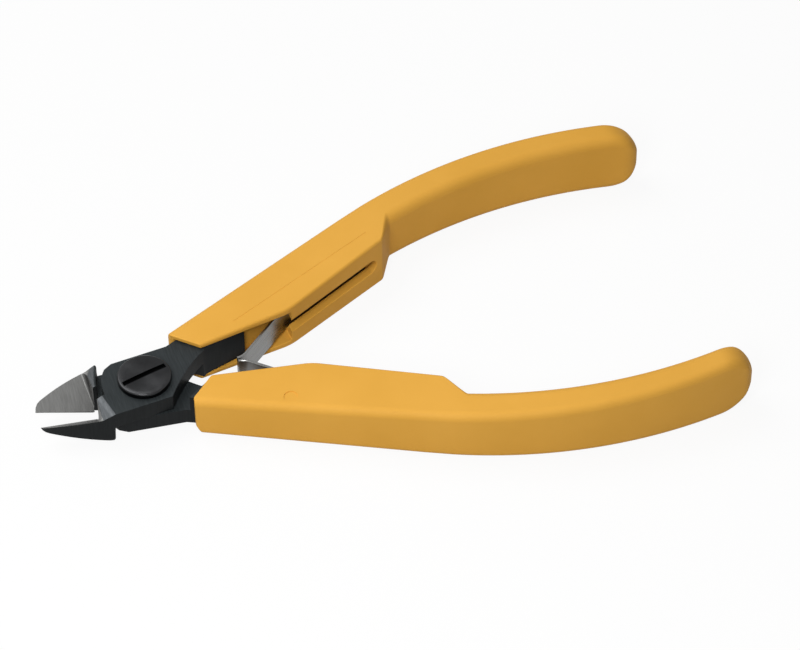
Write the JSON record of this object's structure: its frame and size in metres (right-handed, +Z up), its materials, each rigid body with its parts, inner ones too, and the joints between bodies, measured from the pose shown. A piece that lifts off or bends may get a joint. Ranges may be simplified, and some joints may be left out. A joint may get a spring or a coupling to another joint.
{
  "type": "diagonal cutter",
  "caption": "Small diagonal cutter with lapped black steel jaws on a slotted pivot screw, curved yellow plastic grips and leaf springs that push the handles open.",
  "frame": {"origin": "centre of the outline, on the surface that the tool lies on", "axes": "+X back along the handles, +Y towards the upper grip, +Z up, out of the screw's head"},
  "size_m": [0.1102, 0.0606, 0.0118],
  "materials": {
    "blackened_steel": "black oxide, satin, with ground bevels",
    "turned_steel": "black oxide over a turned face",
    "yellow_grip": "satin moulded plastic",
    "spring_steel": "bright rolled strip"
  },
  "bodies": {
    "lower_half": {"bottom_lever": "blackened_steel", "lower_grip": "yellow_grip", "lower_spring_tail": "spring_steel", "pivot_screw": "turned_steel"},
    "upper_half": {"top_lever": "blackened_steel", "upper_grip": "yellow_grip", "upper_spring_tail": "spring_steel"},
    "upper_spring": {"upper_spring_arm": "spring_steel"},
    "lower_spring": {"lower_spring_arm": "spring_steel"}
  },
  "joints": [
    {"name": "handle_squeeze", "type": "hinge", "parent": "lower_half", "child": "upper_half", "pos_m": [-0.03747, 0, 0.00391], "axis": [0.0227, 0, -0.9997], "range_deg": [0, 10.7], "stiffness_Nm_per_rad": 1.4, "springref_deg": -2.86},
    {"name": "upper_spring_flex", "type": "hinge", "parent": "upper_half", "child": "upper_spring", "pos_m": [-0.01176, 0.00855, 0.00449], "axis": [0.0227, 0, -0.9997], "range_deg": [0, 7.5]},
    {"name": "lower_spring_flex", "type": "hinge", "parent": "lower_half", "child": "lower_spring", "pos_m": [-0.01176, -0.00855, 0.00449], "axis": [-0.0227, 0, 0.9997], "range_deg": [0, 7.5]}
  ],
  "couplings": [
    {"joint": "upper_spring_flex", "follows": "handle_squeeze", "ratio": 0.691},
    {"joint": "lower_spring_flex", "follows": "handle_squeeze", "ratio": 0.691}
  ]
}
